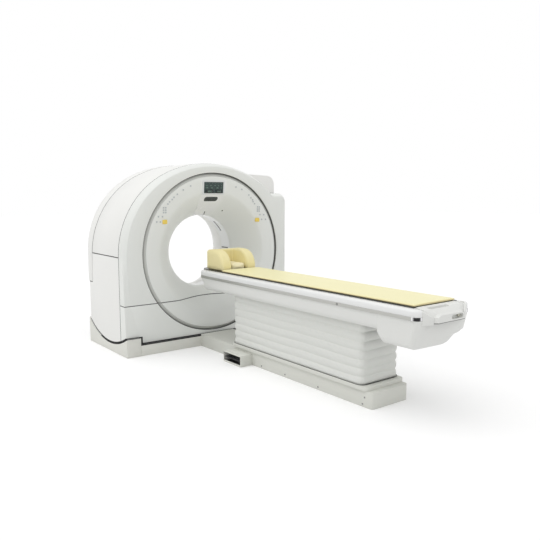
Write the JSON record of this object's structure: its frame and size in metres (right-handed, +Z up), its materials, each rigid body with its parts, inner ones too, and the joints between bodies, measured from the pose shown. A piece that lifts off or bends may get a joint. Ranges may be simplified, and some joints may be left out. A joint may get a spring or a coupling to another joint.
{
  "type": "computed tomography scanner",
  "caption": "Ring-shaped scanner gantry that tilts about a level axis, with a lifting, sliding patient table on a pleated pedestal in front of its bore.",
  "frame": {"origin": "on the floor, under the point where the bore axis meets the gantry's tilt axis", "axes": "+Z up; the bore axis runs along Y, with the patient table towards -Y; the tilt axis runs along X"},
  "size_m": [2, 3.76, 1.844],
  "materials": {
    "cover_white": "satin white moulded cover",
    "cover_shade": "satin pale grey moulded cover",
    "ring_grey": "satin grey trim ring",
    "panel_white": "smooth white panel",
    "bezel_light": "light grey display frame",
    "screen_dark": "dark display glass",
    "window_dark": "dark window",
    "key_grey": "grey membrane key",
    "start_yellow": "yellow start key",
    "bore_film": "translucent scan window ring",
    "steel_dark": "dark grey painted steel",
    "steel_grey": "grey painted steel",
    "bright_steel": "bright machined steel",
    "plinth_beige": "warm grey plinth",
    "base_beige": "warm beige painted base",
    "bellows_beige": "matt coated bellows fabric",
    "screw_steel": "screw head",
    "black_plastic": "black moulded plastic",
    "cover_cream": "satin cream table cover",
    "rail_white": "white bumper rail with a grey lower strip",
    "trim_bright": "bright corner plate",
    "cradle_dark": "dark carbon-fibre cradle",
    "mattress_yellow": "pale yellow covered pad",
    "headrest_cream": "cream foam head holder",
    "pad_grey": "soft head pad",
    "copper_track": "metal slip-ring track"
  },
  "bodies": {
    "base": {"floor_frame": "steel_dark", "left_stand": "steel_grey", "right_stand": "steel_grey", "tilt_bearings": "bright_steel", "tilt_gearmotor": "steel_dark", "left_plinth": "plinth_beige", "right_plinth": "plinth_beige", "front_plinth_strip": "plinth_beige", "table_base": "base_beige", "base_screws": "screw_steel", "bellows_rim": "base_beige", "bellows": "bellows_beige", "outer_columns": "steel_grey", "lift_motor": "steel_dark", "pedal_box": "base_beige"},
    "gantry": {"front_upper_cover": "cover_white", "front_lower_cover": "cover_white", "upper_ring_trim": "ring_grey", "lower_ring_trim": "ring_grey", "shield_panel": "panel_white", "display_bezel": "bezel_light", "display": "screen_dark", "oval_window": "window_dark", "laser_windows": "window_dark", "panel_keys": "key_grey", "left_upper_cover": "cover_white", "left_lower_cover": "cover_shade", "right_upper_housing": "cover_shade", "right_side_housing": "cover_shade", "rear_cover": "cover_shade", "scan_window": "bore_film", "tilt_frame": "steel_dark", "rotor_bearing": "bright_steel"},
    "rotor": {"rotor_drum": "steel_grey", "slip_ring": "copper_track", "xray_tube": "steel_grey", "collimator": "bright_steel", "hv_tank": "steel_grey", "detector": "steel_dark"},
    "left_start_key": {"start_button_left": "start_yellow"},
    "right_start_key": {"start_button_right": "start_yellow"},
    "lift_stage": {"mid_columns": "bright_steel"},
    "table": {"table_frame": "steel_grey", "inner_columns": "bright_steel", "cradle_guides": "bright_steel", "table_left_cover": "cover_cream", "table_right_cover": "cover_cream", "table_front_cover": "cover_cream", "table_foot_cover": "cover_cream", "left_rail": "rail_white", "right_rail": "rail_white", "foot_trims": "trim_bright"},
    "cradle": {"cradle_top": "cradle_dark", "mattress": "mattress_yellow", "headrest": "headrest_cream", "head_pad": "pad_grey", "cradle_handle": "cover_cream"},
    "cradle_release": {"release_knob": "black_plastic"},
    "pedal_left": {"left_pedal": "black_plastic"},
    "pedal_right": {"right_pedal": "black_plastic"}
  },
  "joints": [
    {"name": "gantry_tilt", "type": "hinge", "parent": "base", "child": "gantry", "pos_m": [0, 0, 0.944], "axis": [-1, 0, 0], "range_deg": [-25, 25]},
    {"name": "rotor_spin", "type": "hinge", "parent": "gantry", "child": "rotor", "pos_m": [0, 0, 0.944], "axis": [0, 1, 0], "continuous": true},
    {"name": "start_key_left", "type": "slide", "parent": "gantry", "child": "left_start_key", "axis": [0, 1, 0], "range_m": [0, 0.003], "stiffness_N_per_m": 800, "springref_m": -0.001},
    {"name": "start_key_right", "type": "slide", "parent": "gantry", "child": "right_start_key", "axis": [0, 1, 0], "range_m": [0, 0.003], "stiffness_N_per_m": 800, "springref_m": -0.001},
    {"name": "table_lift", "type": "slide", "parent": "base", "child": "table", "axis": [0, 0, 1], "range_m": [-0.35, 0.1], "deforming": ["bellows"]},
    {"name": "column_extend", "type": "slide", "parent": "base", "child": "lift_stage", "axis": [0, 0, 1], "range_m": [-0.175, 0.05]},
    {"name": "cradle_slide", "type": "slide", "parent": "table", "child": "cradle", "axis": [0, 1, 0], "range_m": [0, 1.5]},
    {"name": "knob_press", "type": "slide", "parent": "cradle", "child": "cradle_release", "axis": [0, 1, 0], "range_m": [0, 0.004], "stiffness_N_per_m": 800, "springref_m": -0.001},
    {"name": "pedal_left_press", "type": "hinge", "parent": "base", "child": "pedal_left", "pos_m": [-0.227, -1.208, 0.06], "axis": [0, -1, 0], "range_deg": [0, 12], "stiffness_Nm_per_rad": 6, "springref_deg": -8.59},
    {"name": "pedal_right_press", "type": "hinge", "parent": "base", "child": "pedal_right", "pos_m": [-0.227, -1.092, 0.06], "axis": [0, -1, 0], "range_deg": [0, 12], "stiffness_Nm_per_rad": 6, "springref_deg": -8.59}
  ],
  "couplings": [
    {"joint": "column_extend", "follows": "table_lift", "ratio": 0.5}
  ]
}
